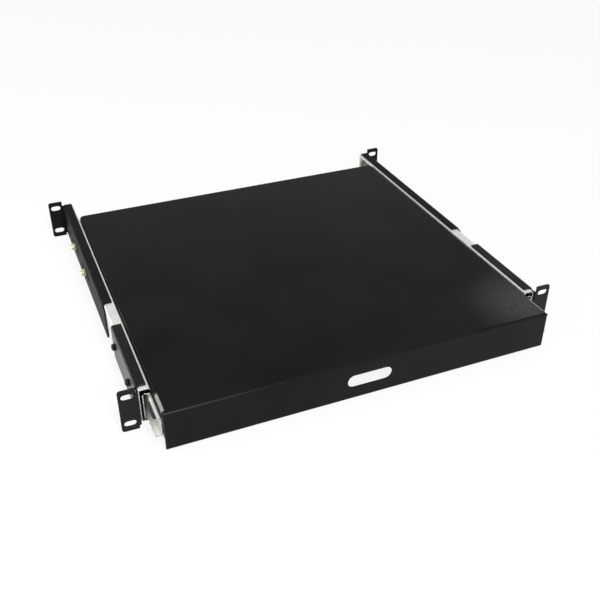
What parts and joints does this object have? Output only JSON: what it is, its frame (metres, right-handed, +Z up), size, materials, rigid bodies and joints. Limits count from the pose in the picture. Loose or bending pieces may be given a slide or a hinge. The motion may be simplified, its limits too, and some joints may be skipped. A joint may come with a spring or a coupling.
{
  "type": "pull-out rack shelf",
  "caption": "Pull-out shelf for a 19-inch rack: folded steel tray with a hand slot in its front panel, on ball-bearing slides held by slotted eared brackets.",
  "frame": {"origin": "middle of the four front ear slots, on the rear faces of the front ears, which meet the rack posts", "axes": "+X to the right seen from the front, +Y into the rack, +Z up"},
  "size_m": [0.4826, 0.454, 0.0494],
  "materials": {
    "tray_paint": "satin black powder coat",
    "bracket_paint": "satin black powder coat",
    "zinc_rail": "bright zinc plate",
    "cage_steel": "zinc plate",
    "ball_steel": "polished steel",
    "bumper_plastic": "natural nylon",
    "black_fastener": "black oxide",
    "yellow_zinc": "yellow passivated zinc",
    "bright_zinc": "bright zinc"
  },
  "bodies": {
    "frame": {"front_left_bracket": "bracket_paint", "rear_left_bracket": "bracket_paint", "left_outer_rail": "zinc_rail", "left_rail_bumper": "bumper_plastic", "front_left_bolts": "black_fastener", "front_left_washers": "black_fastener", "front_left_nuts": "black_fastener", "rear_left_bolts": "yellow_zinc", "rear_left_washers": "yellow_zinc", "rear_left_nuts": "yellow_zinc", "front_right_bracket": "bracket_paint", "rear_right_bracket": "bracket_paint", "right_outer_rail": "zinc_rail", "right_rail_bumper": "bumper_plastic", "front_right_bolts": "black_fastener", "front_right_washers": "black_fastener", "front_right_nuts": "black_fastener", "rear_right_bolts": "yellow_zinc", "rear_right_washers": "yellow_zinc", "rear_right_nuts": "yellow_zinc"},
    "tray": {"shelf_tray": "tray_paint", "left_inner_rail": "zinc_rail", "left_tray_screws": "bright_zinc", "left_tray_nuts": "bright_zinc", "right_inner_rail": "zinc_rail", "right_tray_screws": "bright_zinc", "right_tray_nuts": "bright_zinc"},
    "left_middle": {"left_middle_rail": "zinc_rail"},
    "left_outer_bearing": {"left_outer_cage": "cage_steel", "left_outer_balls": "ball_steel"},
    "left_inner_bearing": {"left_inner_cage": "cage_steel", "left_inner_balls": "ball_steel"},
    "right_middle": {"right_middle_rail": "zinc_rail"},
    "right_outer_bearing": {"right_outer_cage": "cage_steel", "right_outer_balls": "ball_steel"},
    "right_inner_bearing": {"right_inner_cage": "cage_steel", "right_inner_balls": "ball_steel"}
  },
  "joints": [
    {"name": "tray_slide", "type": "slide", "parent": "frame", "child": "tray", "axis": [0, -1, 0], "range_m": [-0.037, 0.343]},
    {"name": "left_middle_slide", "type": "slide", "parent": "frame", "child": "left_middle", "axis": [0, -1, 0], "range_m": [-0.0185, 0.1715]},
    {"name": "left_outer_bearing_slide", "type": "slide", "parent": "frame", "child": "left_outer_bearing", "axis": [0, -1, 0], "range_m": [-0.00925, 0.08575]},
    {"name": "left_inner_bearing_slide", "type": "slide", "parent": "frame", "child": "left_inner_bearing", "axis": [0, -1, 0], "range_m": [-0.02775, 0.25725]},
    {"name": "right_middle_slide", "type": "slide", "parent": "frame", "child": "right_middle", "axis": [0, -1, 0], "range_m": [-0.0185, 0.1715]},
    {"name": "right_outer_bearing_slide", "type": "slide", "parent": "frame", "child": "right_outer_bearing", "axis": [0, -1, 0], "range_m": [-0.00925, 0.08575]},
    {"name": "right_inner_bearing_slide", "type": "slide", "parent": "frame", "child": "right_inner_bearing", "axis": [0, -1, 0], "range_m": [-0.02775, 0.25725]}
  ],
  "couplings": [
    {"joint": "left_middle_slide", "follows": "tray_slide", "ratio": 0.5},
    {"joint": "left_outer_bearing_slide", "follows": "tray_slide", "ratio": 0.25},
    {"joint": "left_inner_bearing_slide", "follows": "tray_slide", "ratio": 0.75},
    {"joint": "right_middle_slide", "follows": "tray_slide", "ratio": 0.5},
    {"joint": "right_outer_bearing_slide", "follows": "tray_slide", "ratio": 0.25},
    {"joint": "right_inner_bearing_slide", "follows": "tray_slide", "ratio": 0.75}
  ]
}
